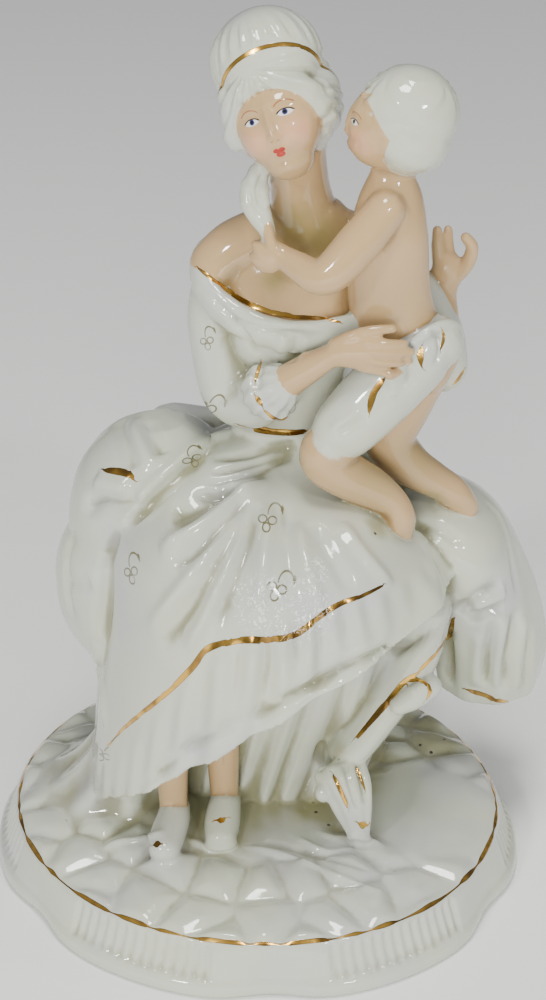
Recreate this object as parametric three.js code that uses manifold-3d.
// Glazed porcelain figurine: a seated mother in a draped gown holds a child who kneels on her lap.
// She sits on a cushioned, cloth-covered seat on a six-lobed base with a fluted rim.
// Millimetres. +Z is up, -Y is the front, and +X is to the right for someone who looks at the front.
// The origin is the centre of the base's underside. The whole figurine is one casting.
import * as THREE from "three";
import { mergeVertices } from "three/addons/utils/BufferGeometryUtils.js";
import Module from "manifold-3d";

const wasm = await Module();
wasm.setup();

// Driving dimensions
const BASE_HALF_WIDTH = 71.3;
const BASE_HALF_DEPTH = 69.9;
const BASE_SKEW = 0.018;
const BASE_RIM_HEIGHT = 14.5;
const BASE_RIM_INSET = 5.5;
const BASE_LOBES = 6;
const FIRST_NOTCH_DEG = 272;
const NOTCH_DEPTH = 3.4;
const NOTCH_HALF_WIDTH_DEG = 9;
const RIBS_PER_LOBE = 10;
const RIBBED_SHARE_OF_LOBE = 0.56;
const RIB_DEPTH = 0.8;
const COBBLES_ROUND = 24;
const COBBLE_ROWS = 2;
const COBBLE_ROW_DEPTH = 13;
const COBBLE_HEIGHT = 1.4;
const MOUND_HEIGHT = 5;
const SEAT_FOLDS = 12;
const SIDE_PLEATS = 8;
const SKIRT_COLUMNS = 46;
const SKIRT_FOLDS = 10;
const FOLD_DEPTH = 1.2;
const KNEE_BULGE = 2.4;
const UNDERSKIRT_PLEATS = 5;
const PLEAT_DEPTH = 0.7;
const BUST_SWELL = 3;
const COLLAR_HEIGHT = 162.2;
const MOTHERS_HEAD_TURN_DEG = [-20, -22, -7];
const CHILDS_HEAD_TURN_DEG = [-8, 0, -90];
const GLAZE_WHITE = 0xe9ece4;

const TURN = 2 * Math.PI;
const FRONT = new THREE.Vector3(0, -1, 0);
const UP = new THREE.Vector3(0, 0, 1);
const radians = THREE.MathUtils.degToRad;
const smoothstep = THREE.MathUtils.smoothstep;
const times = (count, make) => Array.from({ length: count }, (_, i) => make(i));

// Rows of numbers, made denser by a Catmull-Rom curve through them.
function smoothRows(rows, perGap) {
  const at = (i) => rows[Math.max(0, Math.min(rows.length - 1, i))];
  const made = [];
  for (let i = 0; i < rows.length - 1; i++)
    for (let k = 0; k < perGap; k++) {
      const t = k / perGap;
      const between = at(i).map((b, j) => {
        const [a, c, d] = [at(i - 1)[j], at(i + 1)[j], at(i + 2)[j]];
        return b + 0.5 * t * (c - a + t * (2 * a - 5 * b + 4 * c - d + t * (3 * (b - c) + d - a)));
      });
      made.push(between);
    }
  made.push([...rows.at(-1)]);
  return made;
}

// A closed solid from triangles of points, turned so that its faces point out.
function solidFrom(triangles) {
  const merged = mergeVertices(new THREE.BufferGeometry().setFromPoints(triangles.flat()), 1e-4);
  const vertProperties = new Float32Array(merged.attributes.position.array);
  const corners = [];
  for (let i = 0; i < merged.index.count; i += 3) {
    const [a, b, c] = merged.index.array.slice(i, i + 3);
    if (a !== b && b !== c && c !== a) corners.push(a, b, c);
  }
  const make = (triVerts) => new wasm.Manifold(new wasm.Mesh({ numProp: 3, vertProperties, triVerts }));
  const made = make(new Uint32Array(corners));
  return made.volume() > 0 ? made : make(new Uint32Array(corners.reverse()));
}

// Triangles between two rings that run the same way round and start side by side. Rings of one count
// are paired point by point, and others by the shorter diagonal.
function bridge(lower, upper) {
  const [m, n] = [lower.length, upper.length];
  const made = [];
  let j = 0;
  let k = 0;
  while (j < m || k < n) {
    const [low, nextLow] = [lower[j % m], lower[(j + 1) % m]];
    const [high, nextHigh] = [upper[k % n], upper[(k + 1) % n]];
    const shorter = m === n ? j === k : low.distanceTo(nextHigh) > nextLow.distanceTo(high);
    if (k === n || (j < m && shorter)) {
      j++;
      made.push([low, nextLow, high]);
    } else {
      k++;
      made.push([low, nextHigh, high]);
    }
  }
  return made;
}

// A ring closed by a fan of triangles to one point.
function fan(ring, tip) {
  return ring.map((p, i) => [p, ring[(i + 1) % ring.length], tip]);
}

function middleOf(ring) {
  return ring.reduce((sum, p) => sum.add(p), new THREE.Vector3()).divideScalar(ring.length);
}

// A solid through a row of rings, closed at each end.
function loft(rings) {
  const first = rings[0];
  const last = rings.at(-1);
  const bottom = fan([...first].reverse(), middleOf(first));
  const sides = rings.slice(1).flatMap((ring, i) => bridge(rings[i], ring));
  return solidFrom([...bottom, ...sides, ...fan(last, middleOf(last))]);
}

// A round-ended limb through stations [x, y, z, half width, half thickness],
// where the thickness is measured towards the given facing; flutes stand out and in by turns.
function limb(stations, { sides = 7, perGap = 1, facing = FRONT, flutes = 0 } = {}) {
  const whole = stations.map(([x, y, z, wide, thick = wide]) => [x, y, z, wide, thick]);
  const rows = smoothRows(whole, perGap);
  const centres = rows.map(([x, y, z]) => new THREE.Vector3(x, y, z));
  const last = rows.length - 1;
  const along = centres.map((_, i) =>
    new THREE.Vector3().subVectors(centres[Math.min(i + 1, last)], centres[Math.max(i - 1, 0)]).normalize(),
  );
  const ringAt = (i, shift, share) => {
    const across = new THREE.Vector3().crossVectors(along[i], facing).normalize();
    const towards = new THREE.Vector3().crossVectors(across, along[i]).normalize();
    const centre = centres[i].clone().addScaledVector(along[i], shift);
    return times(sides, (j) => {
      const angle = (TURN * j) / sides;
      const reach = share * (1 + flutes * Math.cos(Math.PI * j));
      const side = centre.clone().addScaledVector(across, rows[i][3] * reach * Math.cos(angle));
      return side.addScaledVector(towards, rows[i][4] * reach * Math.sin(angle));
    });
  };
  const capAt = (i, sign) => ringAt(i, sign * 0.75 * Math.min(rows[i][3], rows[i][4]), 0.66);
  return loft([capAt(0, -1), ...rows.map((_, i) => ringAt(i, 0, 1)), capAt(last, 1)]);
}

// A solid through level slices [z, centre x, centre y, half width, half depth];
// swell(angle, z) gives the millimetres that a point stands out from its ellipse.
function slices(rows, { sides = 20, perGap = 1, swell = () => 0 } = {}) {
  const rings = smoothRows(rows, perGap).map(([z, x, y, wide, deep]) =>
    times(sides, (j) => {
      const angle = (TURN * j) / sides;
      const more = swell(angle, z);
      return new THREE.Vector3(x + (wide + more) * Math.cos(angle), y + (deep + more) * Math.sin(angle), z);
    }),
  );
  return loft(rings);
}

// An ellipsoid with its half sizes, turned about X, then Y, then Z;
// its sides can stand out and in by turns as ribs, by a share of its width.
function egg(centre, halves, { turnDeg = [0, 0, 0], sides = 12, levels = 6, ribs = 0 } = {}) {
  const turn = new THREE.Matrix4().makeRotationFromEuler(new THREE.Euler(...turnDeg.map(radians), "ZYX"));
  const size = new THREE.Vector3(...halves);
  const middle = new THREE.Vector3(...centre);
  const rings = times(levels, (i) => {
    const height = Math.PI * ((i + 0.35) / (levels - 0.3) - 0.5);
    return times(sides, (j) => {
      const angle = (TURN * j) / sides;
      const wide = Math.cos(height) * (1 + ribs * Math.cos(Math.PI * j) * Math.cos(height));
      const point = new THREE.Vector3(wide * Math.cos(angle), wide * Math.sin(angle), Math.sin(height));
      return point.multiply(size).applyMatrix4(turn).add(middle);
    });
  });
  return loft(rings);
}

const joined = (solids) => solids.reduce((whole, solid) => whole.add(solid));

// Base

const LOBE_TURN = TURN / BASE_LOBES;

// How far an angle is past the last notch, as a share of one lobe.
function shareOfLobe(angle) {
  return ((((angle - radians(FIRST_NOTCH_DEG)) % LOBE_TURN) + LOBE_TURN) % LOBE_TURN) / LOBE_TURN;
}

// A point of the base's outline, drawn in by the inset; notched runs from 0, an oval, to 1, the lobed lip.
// The skew leans the oval a little, as the mould does.
function basePoint(angle, inset, z, notched = 0) {
  const share = shareOfLobe(angle);
  const fromNotch = (Math.min(share, 1 - share) * 360) / BASE_LOBES / NOTCH_HALF_WIDTH_DEG;
  const drawnIn = inset + notched * NOTCH_DEPTH * Math.exp(-(fromNotch ** 2));
  const x = (BASE_HALF_WIDTH - drawnIn) * Math.cos(angle);
  const y = (BASE_HALF_DEPTH - drawnIn) * Math.sin(angle);
  return new THREE.Vector3(x - BASE_SKEW * y, y - BASE_SKEW * x, z);
}

// Angles round the wall: each lobe has close steps across its ribs and wide ones across its plain ends.
function wallAngles() {
  const steps = 2 * RIBS_PER_LOBE;
  const start = (1 - RIBBED_SHARE_OF_LOBE) / 2;
  const shares = [0, ...times(steps + 1, (i) => start + (RIBBED_SHARE_OF_LOBE * i) / steps)];
  const lobes = times(BASE_LOBES, (lobe) => shares.map((share) => (lobe + share) * LOBE_TURN));
  const angles = lobes.flat().map((angle) => (angle + radians(FIRST_NOTCH_DEG)) % TURN);
  return angles.sort((one, other) => one - other);
}

// Every second step of the ribbed part of a lobe is a groove.
function grooveDepth(angle) {
  const past = (shareOfLobe(angle) - (1 - RIBBED_SHARE_OF_LOBE) / 2) / RIBBED_SHARE_OF_LOBE;
  return past > 0.01 && past < 0.99 ? RIB_DEPTH * (0.5 - 0.5 * Math.cos(TURN * past * RIBS_PER_LOBE)) : 0;
}

// A point of the domed ground, at a distance in from the rim.
function groundPoint(angle, inset, lift = 0) {
  const reach = 1 - inset / (BASE_HALF_WIDTH - BASE_RIM_INSET);
  return basePoint(angle, BASE_RIM_INSET + inset, BASE_RIM_HEIGHT + MOUND_HEIGHT * (1 - reach ** 2) + lift);
}

// Where two grooves meet between the cobbles: u counts cobbles round the base, v counts rows in from the rim.
function grooveCorner(u, v) {
  const angle = (TURN * (((u % COBBLES_ROUND) + COBBLES_ROUND) % COBBLES_ROUND)) / COBBLES_ROUND;
  const inside = v > 0.3 && v < COBBLE_ROWS - 0.3;
  const row = inside ? v + 0.13 * Math.sin(7 * angle + 5 * v) : Math.round(v);
  const turn = angle + (inside ? 0.035 * Math.sin(11 * angle - 3 * v) : 0);
  return groundPoint(turn, row * COBBLE_ROW_DEPTH);
}

// One domed stone with six corners.
function cobble(u, row) {
  const around = [[-0.5, 1 / 6], [0, -1 / 6], [0.5, 1 / 6], [0.5, 5 / 6], [0, 7 / 6], [-0.5, 5 / 6]];
  const outer = around.map(([du, dv]) => grooveCorner(u + du, row + dv));
  const lift = new THREE.Vector3(0, 0, COBBLE_HEIGHT);
  const inner = outer.map((p) => p.clone().lerp(middleOf(outer), 0.42).add(lift));
  const crown = [[0, 1, 5], [1, 2, 5], [2, 4, 5], [2, 3, 4]];
  return [...bridge(outer, inner), ...crown.map((corners) => corners.map((i) => inner[i]))];
}

function base() {
  const plain = (inset, z) =>
    times(2 * COBBLES_ROUND, (j) => basePoint((TURN * j) / 2 / COBBLES_ROUND, inset, z, 1));
  const ribbed = (inset, z) =>
    wallAngles().map((angle) => basePoint(angle, inset + grooveDepth(angle), z, 1 - z / BASE_RIM_HEIGHT));
  const rings = [
    plain(0.8, 0),
    plain(0, 2.4),
    ribbed(1.8, 5),
    ribbed(4.4, 12.6),
    times(2 * COBBLES_ROUND, (j) => grooveCorner(j / 2, 0)),
  ];
  const inner = times(2 * COBBLES_ROUND, (j) => grooveCorner(j / 2, COBBLE_ROWS));
  const groundAt = (j) => groundPoint((TURN * j) / COBBLES_ROUND, COBBLE_ROWS * COBBLE_ROW_DEPTH + 9, 0.6);
  const ground = times(COBBLES_ROUND, groundAt);
  const stones = times(COBBLE_ROWS, (row) => times(COBBLES_ROUND, (s) => cobble(s + 0.5 * (row % 2), row)));
  return solidFrom([
    ...fan([...rings[0]].reverse(), new THREE.Vector3()),
    ...rings.slice(1).flatMap((upper, i) => bridge(rings[i], upper)),
    ...stones.flat(2),
    ...bridge(inner, ground),
    ...fan(ground, new THREE.Vector3(0, 0, BASE_RIM_HEIGHT + MOUND_HEIGHT)),
  ]);
}

// Seat, with its cushions and cloths

// The cloth-covered block under the mother, hung with upright folds in front and behind.
function seatBlock() {
  const rows = [
    [12, -3, 19, 43, 26],
    [48, 2, 17, 45, 27.5],
    [76, 5, 15, 50, 31],
    [92, 5, 14, 47, 31],
    [101, 6, 14, 34, 22],
  ];
  const folds = (angle, z) => {
    const depth = 1.3 * (0.3 + 0.7 * Math.abs(Math.sin(angle)));
    return depth * Math.cos(SEAT_FOLDS * angle) * smoothstep(100 - z, 0, 20);
  };
  return slices(rows, { sides: 2 * SEAT_FOLDS, swell: folds });
}

// The two stuffed puffs of cloth at the left arm of the seat, and the roll along its back.
function leftCushion() {
  const puffs = [
    [42, -25, 16, 11, 17],
    [52, -26, 15, 16, 21],
    [65, -27.3, 15, 24.8, 24.4],
    [80, -27.5, 15, 26.4, 25],
    [95, -28, 13, 19.5, 19],
    [103, -27.2, 13, 21.6, 21],
    [112, -26, 14, 19.7, 19.5],
    [118.4, -25.5, 15, 13.6, 14],
    [122.6, -24.5, 16, 6, 6.5],
  ];
  const creases = (angle, z) => 0.9 * Math.cos(6 * angle + 0.07 * (z - 80)) * smoothstep(124 - z, 0, 14);
  const roll = [
    [-22, 29, 110.4, 9.6],
    [-6, 35, 103.5, 11],
    [14, 37, 101, 11],
    [34, 31, 97, 10],
    [46, 22, 94, 9],
  ];
  return joined([slices(puffs, { sides: 13, swell: creases }), limb(roll, { facing: UP })]);
}

// The heavy cloth that hangs over the right arm of the seat, clear of the base.
function sideDrape() {
  const rows = [
    [103.4, 44.8, 15, 4, 6],
    [100.4, 47.8, 15, 9.6, 15],
    [93, 52.4, 16, 13.5, 21],
    [80, 57.1, 17, 15, 22],
    [66, 60.6, 18, 15.9, 20.5],
    [52, 63.2, 20, 15.6, 18],
    [39.8, 63.7, 22, 14, 15],
  ];
  const pleats = (angle, z) => 1.2 * Math.cos(SIDE_PLEATS * angle) * smoothstep(95 - z, 0, 22);
  return slices(rows, { sides: 3 * SIDE_PLEATS, swell: pleats });
}

// The carved apron of the seat, which sweeps down to a short fluted foot.
function scrollLeg() {
  const apron = [
    [45, -3, 78, 6, 12],
    [41, -4.6, 66, 7.4, 12.6],
    [33, -7, 52, 7, 12],
    [24, -13, 40, 5.6, 10],
  ];
  const curl = [
    [45, -16, 61, 3.4],
    [38, -19, 57.6, 2.8],
  ];
  const foot = [
    [19.4, -20, 38.6, 4.2, 3.4],
    [22, -24, 36.8, 6, 4.2],
    [24.6, -26, 29, 4.6, 3.6],
    [26.6, -26.4, 21, 3.2, 2.8],
    [27.6, -26, 15, 3, 2.8],
  ];
  return joined([limb(apron), limb(curl, { sides: 5 }), limb(foot, { sides: 14, flutes: 0.08 })]);
}

// The upright pleats of the underskirt, which fan out below the hem behind the ankles.
function underskirt() {
  const pleat = (i) => [
    [9 * i - 3, -13, 58 + 4.6 * i, 4.4],
    [5 * i, -11, 20 + 2.5 * i, 3.2],
  ];
  const last = [
    [41, -7.5, 74, 4.6],
    [36, -9, 60, 4.6],
    [27, -11, 42, 3.8],
  ];
  const all = [...times(UNDERSKIRT_PLEATS, pleat), last];
  return joined(all.map((stations) => limb(stations, { sides: 4 })));
}

// The low mound of cloth that trails from the gown's left corner onto the base.
function train() {
  return egg([-42, 9, 14], [19, 25, 12], { sides: 12, levels: 4 });
}

// Mother

// Rings of the gown from the belt to the hem: height at the middle, rise per mm towards +X, rise per mm
// towards +Y, bow, centre x, centre y, and the reach to the left, right, front and back.
const GOWN_RINGS = [
  [121.5, 0, 0, 0, 7, 16, 11.6, 11.6, 9.6, 9.6],
  [115.5, -0.1, -0.12, 0, 4, 13, 23, 22, 17, 20],
  [108.5, 0, -0.15, 0, 2, 8, 33, 33, 27, 29],
  [98.5, 0.02, -0.12, 0, 2, 3, 39.5, 40, 37, 38],
  [83, 0.22, -0.06, 0, 3, 1, 42, 44, 42.5, 42],
  [64.5, 0.71, 0, -0.0048, 2, 0, 47, 49, 44, 44],
];

// folded(angle, down) gives the millimetres that the cloth stands out from its smooth ring.
function gownRings(rows, perGap, columns, folded = () => 0) {
  const dense = smoothRows(rows, perGap);
  return dense.map(([z, riseX, riseY, bow, x, y, left, right, front, back], i) =>
    times(columns, (j) => {
      const angle = (TURN * j) / columns;
      const [c, s] = [Math.cos(angle), Math.sin(angle)];
      const more = folded(angle, i / (dense.length - 1));
      const px = x + ((c > 0 ? right : left) + more) * c;
      const py = y + ((s > 0 ? back : front) + more) * s;
      return new THREE.Vector3(px, py, z + riseX * px + riseY * py + bow * px * px);
    }),
  );
}

function gown() {
  // Each knee lifts the cloth in front of it.
  const knee = (angle, down, atDeg) =>
    Math.exp(-(((angle - radians(atDeg)) / 0.36) ** 2) - ((down - 0.5) / 0.2) ** 2);
  const folds = (angle, down) => {
    const forward = 0.35 + 0.65 * smoothstep(-Math.sin(angle), -0.4, 0.6);
    const fold = FOLD_DEPTH * Math.cos(SKIRT_FOLDS * angle + 2.2 * down) * smoothstep(down, 0, 0.35);
    const gathers = PLEAT_DEPTH * Math.cos((SKIRT_COLUMNS * angle) / 2) * smoothstep(down, 0.7, 0.85);
    const knees = KNEE_BULGE * (knee(angle, down, 236) + knee(angle, down, 299));
    return forward * (fold * (1 - 0.7 * smoothstep(down, 0.65, 0.85)) + gathers) + knees;
  };
  const skin = loft(gownRings(GOWN_RINGS, 2, SKIRT_COLUMNS, folds).filter((_, i) => i > 5 || i % 2 === 0));
  const hem = GOWN_RINGS.at(-1);
  const shrunk = (dz, share) => hem.map((v, i) => (i === 0 ? v + dz : i > 5 ? v * share : v));
  return skin.subtract(loft(gownRings([shrunk(5, 0.84), shrunk(-20, 0.94)], 1, 20)));
}

// The collar's height round the shoulders.
function neckline(angle) {
  return COLLAR_HEIGHT + 7 * Math.sin(angle) + 2.2 * Math.cos(2 * angle);
}

// The bodice runs from its raised belt into the collar, and the bare chest and shoulders rise out of it.
function bodice() {
  const trunk = [
    [114, 6, 17, 15, 13],
    [119, 7, 16, 12.2, 10.4],
    [120, 7, 16, 13.2, 11.2],
    [123, 7.2, 16, 13.2, 11.2],
    [124, 7.4, 15.6, 12.2, 9.9],
    [137, 9.2, 14, 15, 11],
    [148, 10, 13, 17.4, 12],
    [156, 11, 13, 20.3, 12.2],
    [162, 11.7, 14.2, 20.4, 11],
  ];
  const chest = [
    [152, 10, 14, 15, 9.6],
    [158, 11, 13.6, 19, 10.6],
    [166, 12, 15, 22, 10.2],
    [172, 12.5, 16.5, 18.2, 8.8],
    [177, 13, 17, 12.8, 7.8],
    [183, 13, 17, 8, 7],
  ];
  const shoulders = [
    [-9.6, 14.5, 166.9, 7.5],
    [-4.6, 15.5, 171, 7.8],
    [10, 17, 175, 7.7],
    [24, 16.5, 172.5, 7.4],
    [32, 15, 167, 7.2],
  ];
  const bust = (angle, z) => {
    const forward = smoothstep(-Math.sin(angle), 0.2, 0.9) * (1 - 0.3 * Math.cos(4 * angle));
    return BUST_SWELL * forward * Math.exp(-(((z - 151) / 9) ** 2));
  };
  return joined([
    slices(trunk, { sides: 12, swell: bust }),
    slices(chest, { sides: 10, swell: bust }),
    limb(shoulders, { sides: 6 }),
  ]);
}

// The turned-down frill of the neckline, which leaves the shoulders bare.
function collar() {
  const line = times(13, (k) => {
    const angle = (TURN * k) / 12;
    const frill = 0.5 * Math.cos(Math.PI * k);
    const y = 14 + (15.2 + frill) * Math.sin(angle);
    return [12 + 26.3 * Math.cos(angle), y, neckline(angle), 2.3, 3.4];
  });
  return limb(line, { facing: UP, sides: 5 });
}

function hand(palm, fingers) {
  return joined([limb(palm), ...fingers.map((finger) => limb(finger, { sides: 4 }))]);
}

// The arm that reaches across in front to hold the child's hip.
function mothersRightArm() {
  const sleeve = [
    [-9.2, 14.4, 161, 7.4],
    [-9.4, 13, 154, 8.3],
    [-8.4, 11, 145, 8.3],
    [-5.8, 7.4, 135.6, 8.4],
    [-1, 2, 135.4, 7.4],
    [1.6, -2.2, 138.4, 6.6],
    [4, -4.6, 141.2, 7.4],
  ];
  const forearm = [
    [3, -4.6, 140.6, 4.6],
    [11, -7.8, 147.8, 4],
    [18.4, -9.6, 153.6, 3],
  ];
  const palm = [
    [17.4, -9.4, 153, 3, 2.8],
    [21.4, -10.6, 154.6, 4, 2.8],
    [26.5, -11.4, 154.8, 4.6, 2.6],
  ];
  const fingers = [
    [[25, -12, 158.3, 1.5], [36, -10.8, 157, 1.1]],
    [[26, -12.2, 156, 1.5], [37.8, -10.8, 154.6, 1.1]],
    [[26, -12.2, 153.6, 1.5], [37, -10.8, 152, 1.1]],
    [[25.4, -12, 151.2, 1.4], [34.8, -10.8, 149.2, 1]],
  ];
  const thumb = [
    [19, -10.4, 156.6, 1.8],
    [25, -11.4, 160, 1.5],
    [33, -11, 161.2, 1.15],
  ];
  return joined([limb(sleeve, { sides: 8 }), limb(forearm), hand(palm, [...fingers, thumb])]);
}

// The arm that passes behind the child, with its open hand raised.
function mothersLeftArm() {
  const sleeve = limb([
    [31, 15, 167, 6.8],
    [38.2, 17, 158.6, 7.2],
    [44.8, 19, 146.4, 8],
    [47.2, 18, 137.4, 7.3],
  ]);
  const forearm = limb([
    [48.6, 18, 139, 4.8],
    [48.2, 19, 149, 3.7],
    [47.8, 20, 157, 3.1],
  ]);
  const palm = [
    [47.8, 20, 156.5, 3.1, 2.9],
    [48, 20, 161.5, 4, 2.8],
    [48, 20, 166, 3.4, 2.4],
  ];
  const fingers = [
    [[46.6, 20, 164, 2.1], [45.8, 20, 169, 1.8], [45.4, 20, 174, 1.3]],
    [[48.8, 21, 164, 2], [48.3, 22, 173.4, 1.2]],
    [[50, 20, 161, 2.3], [53.2, 19, 165.4, 2], [54.2, 18, 170.2, 1.7], [52.4, 17.4, 173.2, 1.4]],
  ];
  return joined([sleeve, forearm, hand(palm, fingers)]);
}

// Stations given in a head's own axes, from the middle of its face.
function inHead(middle, turnDeg, stations) {
  const turn = new THREE.Euler(...turnDeg.map(radians), "ZYX");
  return stations.map(([x, y, z, ...widths]) => {
    const place = new THREE.Vector3(x, y, z).applyEuler(turn).add(new THREE.Vector3(...middle));
    return [...place.toArray(), ...widths];
  });
}

function mothersHead() {
  const turnDeg = MOTHERS_HEAD_TURN_DEG;
  const middle = [5, 5.4, 208.9];
  const neck = [
    [12.4, 17, 178, 8.4],
    [10.9, 16, 186, 7.6],
    [10.2, 14, 193, 7.2],
    [9.8, 12, 200, 7],
  ];
  const nose = [
    [0, -9, 2, 0.8],
    [0, -9.8, -3.4, 1.2],
  ];
  const fringe = [
    [-10.4, -1.3, 0.4, 3.2],
    [-7.4, -4.8, 7, 2.9],
    [1, -5.9, 9.4, 2.8],
    [8.4, -3.4, 5.8, 3],
    [10.6, -0.6, 1.4, 3.2],
  ];
  const locks = [
    [[-6.4, 8.5, 214, 3.2], [-5, 7.2, 208, 3.2], [1.2, 5, 200.6, 2.4]],
    [[15.8, 7, 214, 3.2], [16.2, 7, 209.5, 3.6], [13, 8.5, 202.4, 2.2]],
  ];
  const braid = [
    [1.4, 4.6, 199.6, 2.6],
    [1, 3, 196.8, 2.2],
    [-0.4, 0.8, 193, 3.5],
    [0.4, -0.8, 189.4, 3.4],
    [2, -1.6, 185.4, 2.6],
    [3.2, -2, 181.4, 1.8],
  ];
  const slim = [braid, ...locks, inHead(middle, turnDeg, nose), inHead(middle, turnDeg, fringe)];
  return joined([
    limb(neck),
    egg(middle, [10.4, 9.8, 12], { turnDeg, sides: 12, levels: 5 }),
    egg([7.6, 1.8, 201.2], [6.2, 6.2, 6], { turnDeg, sides: 7, levels: 4 }),
    egg([7.2, 14, 210], [13.8, 12.4, 14], { turnDeg, sides: 12, levels: 5, ribs: 0.02 }),
    egg([2.4, 14.6, 221], [13.6, 12.9, 13.7], { turnDeg, sides: 14, levels: 5, ribs: 0.025 }),
    ...slim.map((stations) => limb(stations, { sides: 5 })),
  ]);
}

function mothersFeet() {
  const leg = (x, y, knee) => {
    const shin = [[x, y + 3, knee, 4.6], [x, y + 1, 36, 4.3], [x + 0.4, y, 23, 3.7]];
    return limb(shin, { sides: 6 });
  };
  const shoe = (x, y, turn) =>
    limb(
      [
        [x + 0.8, y + 2, 20.5, 4.2, 4.4],
        [x, y - 5, 21, 4.9, 4.6],
        [x - turn, y - 13, 19.6, 4.8, 3.6],
        [x - 1.8 * turn, y - 18, 18.4, 3.4, 2.6],
      ],
      { facing: UP },
    );
  return joined([leg(-22.5, -19, 50), leg(-9, -14, 58), shoe(-22.5, -19, 1.1), shoe(-9, -14, 0.3)]);
}

// Child

function childsTrunk() {
  const trunk = [
    [32.4, 5, 196, 5, 4.6],
    [32.6, 4, 190, 7.8, 6.4],
    [32.3, 3, 180, 9.7, 7.4],
    [32.4, 3, 168, 10.3, 8],
    [34, 3, 158, 10.6, 8.6],
    [38, 4, 149, 10.4, 9.2],
    [41.5, 6, 143, 8, 8],
  ];
  return joined([limb(trunk, { sides: 9 }), limb([[33, 5.5, 192, 5.2], [34.5, 5.5, 204, 5.4]])]);
}

function childsHead() {
  const turnDeg = CHILDS_HEAD_TURN_DEG;
  const middle = [33, 4.5, 208];
  const nose = inHead(middle, turnDeg, [[0, -10.2, 1.2, 0.7], [0, -10.8, -2.6, 1.1]]);
  return joined([
    egg(middle, [9.4, 11.2, 11], { turnDeg, sides: 10, levels: 5 }),
    egg([29.6, 4.5, 204], [7.2, 7.6, 6.6], { turnDeg, sides: 7, levels: 4 }),
    egg([36.5, 5, 210.8], [11.3, 12.1, 11.8], { turnDeg, sides: 12, levels: 5, ribs: 0.01 }),
    egg([37, 4, 205.2], [10.8, 9.9, 9], { turnDeg, sides: 10, levels: 4 }),
    egg([35.6, -4.9, 206], [1, 1.7, 2.4], { sides: 5, levels: 3 }),
    limb(nose, { sides: 5 }),
  ]);
}

function childsArms() {
  const near = [
    [31, -3, 189, 5],
    [25, -6.5, 182.5, 5.4],
    [18, -9.5, 175.5, 5],
    [13, -8.4, 174.6, 4.2],
    [6.6, -4, 177, 3],
  ];
  const palm = [
    [7.4, -4.2, 176.8, 2.9],
    [4.4, -3, 177.6, 3.4, 2.8],
    [1.4, -1, 177.6, 3, 2.4],
  ];
  const fingers = [
    [[4, -4.4, 178.6, 1.5], [3.2, -3.8, 182, 1.4], [2.6, -2.8, 185, 1.2]],
    [[3.4, -4.6, 177, 1.5], [-0.8, -1.4, 179.2, 1.2]],
    [[3.6, -4.4, 174.4, 1.5], [-0.8, -1, 174.8, 1.2]],
  ];
  const far = [
    [33, 9, 188, 4.8],
    [29, 13, 181, 4.4],
    [24, 14, 173, 3.8],
    [19, 13, 168, 3],
  ];
  return joined([limb(near), hand(palm, fingers), limb(far, { sides: 6 })]);
}

function childsLegs() {
  const near = [
    [39, 1, 149, 9],
    [30, -5, 139, 8.2],
    [20.5, -8, 130, 7],
    [17, -8.5, 124.5, 6.6],
    [22, -8, 119.5, 6.2],
    [29, -8, 115.5, 5.3],
    [34.5, -8, 111, 4.1],
    [36.3, -8, 106, 4.3],
    [36.6, -7.5, 101.5, 3.2],
  ];
  const far = [
    [42, 8, 146, 9.2],
    [37, 8, 132, 8],
    [34, 7, 122, 7],
    [39, 7, 114.5, 5.8],
    [46, 7, 109.5, 4.7],
    [51, 7, 106, 4.2],
    [54.5, 7.5, 101.5, 3.4],
  ];
  return joined([limb(near), limb(far)]);
}

// The cloth laid over the child's hip and thigh.
function childsCloth() {
  const sheet = [
    [45, 0, 152.6, 7, 6.4],
    [40, -1.6, 149.6, 8.6, 8.2],
    [29.6, -5.6, 140, 8.6, 8],
    [21.4, -8.6, 132, 7.4, 7],
    [18.6, -9.6, 128.6, 6, 5.8],
  ];
  const hem = [
    [38.6, -7.6, 156, 1.2],
    [42, -6, 158, 1.5, 1.3],
    [46.2, -3, 158.4, 1.7, 1.4],
    [50.2, 2, 154.4, 1.7, 1.4],
    [49.6, 5, 146, 1.3, 1.2],
  ];
  return joined([limb(sheet, { sides: 7 }), limb(hem, { sides: 4 })]);
}

const figurine = joined([
  base(),
  seatBlock(),
  leftCushion(),
  sideDrape(),
  scrollLeg(),
  underskirt(),
  train(),
  gown(),
  bodice(),
  collar(),
  mothersRightArm(),
  mothersLeftArm(),
  mothersHead(),
  mothersFeet(),
  childsTrunk(),
  childsHead(),
  childsArms(),
  childsLegs(),
  childsCloth(),
]);

function toMesh(solid, name, colour) {
  const { numProp, vertProperties, triVerts } = solid.getMesh();
  const positions = vertProperties.filter((_, i) => i % numProp < 3);
  const geometry = new THREE.BufferGeometry()
    .setAttribute("position", new THREE.BufferAttribute(positions, 3))
    .setIndex(new THREE.BufferAttribute(triVerts, 1));
  geometry.computeVertexNormals();
  const glaze = new THREE.MeshStandardMaterial({ color: colour, roughness: 0.12, metalness: 0 });
  const mesh = new THREE.Mesh(geometry, glaze);
  mesh.name = name;
  return mesh;
}

const group = new THREE.Group();
group.add(toMesh(figurine, "mother_and_child_figurine", GLAZE_WHITE));

export default group;
